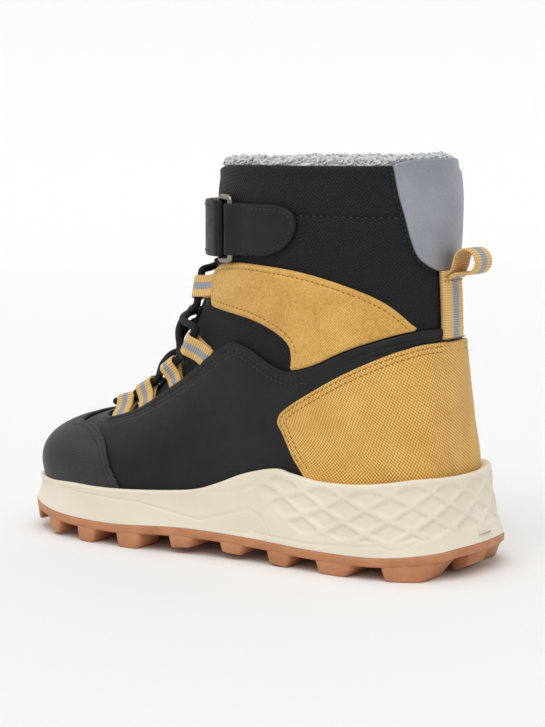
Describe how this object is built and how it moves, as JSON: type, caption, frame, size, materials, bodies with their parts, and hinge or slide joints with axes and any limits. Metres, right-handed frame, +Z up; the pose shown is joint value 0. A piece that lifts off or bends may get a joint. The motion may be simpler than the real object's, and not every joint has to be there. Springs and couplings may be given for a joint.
{
  "type": "child's winter hiking boot",
  "caption": "Child's right ankle-high winter hiking boot with a fleece lining, canvas overlays, a corded lace, a ring-and-strap closure and a lugged rubber sole.",
  "frame": {"origin": "middle of the boot's footprint box, on the ground", "axes": "+Z up, +Y towards the toe, +X towards the outer side of the foot"},
  "size_m": [0.0874, 0.2106, 0.1583],
  "materials": {
    "gum_rubber": "matte moulded rubber",
    "cream_foam": "matte moulded EVA foam",
    "board": "stitched fibre board",
    "fleece": "curly pile fleece",
    "black_textile": "coarse woven polyester",
    "black_synthetic": "smooth matte synthetic leather",
    "textured_cap": "fine embossed synthetic leather",
    "yellow_canvas": "waxed canvas",
    "grey_reflective": "retroreflective film on fabric",
    "tan_webbing": "ribbed webbing with a grey reflective stripe",
    "black_cord": "braided round elastic cord",
    "nickel_wire": "dark nickel plated wire",
    "hook_and_loop": "hook and loop tape"
  },
  "bodies": {
    "boot": {"outsole": "gum_rubber", "midsole": "cream_foam", "shank": "board", "insole_board": "board", "footbed": "fleece", "lining": "fleece", "heel_stiffener": "board", "toe_puff": "board", "shaft_medial": "black_textile", "shaft_lateral": "black_textile", "vamp": "black_textile", "tongue": "black_textile", "tongue_keeper": "black_synthetic", "quarter_medial": "black_synthetic", "quarter_lateral": "black_synthetic", "ankle_overlay_medial": "yellow_canvas", "ankle_overlay_lateral": "yellow_canvas", "toe_cap": "textured_cap", "heel_counter_cover": "yellow_canvas", "collar_patch": "grey_reflective", "heel_webbing": "tan_webbing", "lace": "black_cord", "ring_tab": "black_synthetic", "strap_anchor": "black_synthetic", "strap_base": "black_synthetic", "loop_tape": "hook_and_loop", "lace_loop_medial_1": "tan_webbing", "lace_loop_lateral_1": "tan_webbing", "lace_loop_medial_2": "tan_webbing", "lace_loop_lateral_2": "tan_webbing", "lace_loop_medial_3": "tan_webbing", "lace_loop_lateral_3": "tan_webbing", "lace_loop_medial_4": "tan_webbing", "lace_loop_lateral_4": "tan_webbing", "lace_loop_medial_5": "tan_webbing", "lace_loop_lateral_5": "tan_webbing"},
    "ring": {"strap_ring": "nickel_wire"},
    "strap": {"strap_end": "black_synthetic", "hook_tape": "hook_and_loop"},
    "pull_loop": {"pull_loop": "tan_webbing"}
  },
  "joints": [
    {"name": "ring_swing", "type": "hinge", "parent": "boot", "child": "ring", "pos_m": [-0.03514, -0.0102, 0.1293], "axis": [0, 0, 1], "range_deg": [0, 30]},
    {"name": "strap_peel", "type": "hinge", "parent": "ring", "child": "strap", "pos_m": [-0.03119, -0.0024, 0.1293], "axis": [0, 0, 1], "range_deg": [0, 130]},
    {"name": "pull_loop_swing", "type": "hinge", "parent": "boot", "child": "pull_loop", "pos_m": [-0.00098, -0.09098, 0.11335], "axis": [1, 0, 0], "range_deg": [-15, 30]}
  ]
}
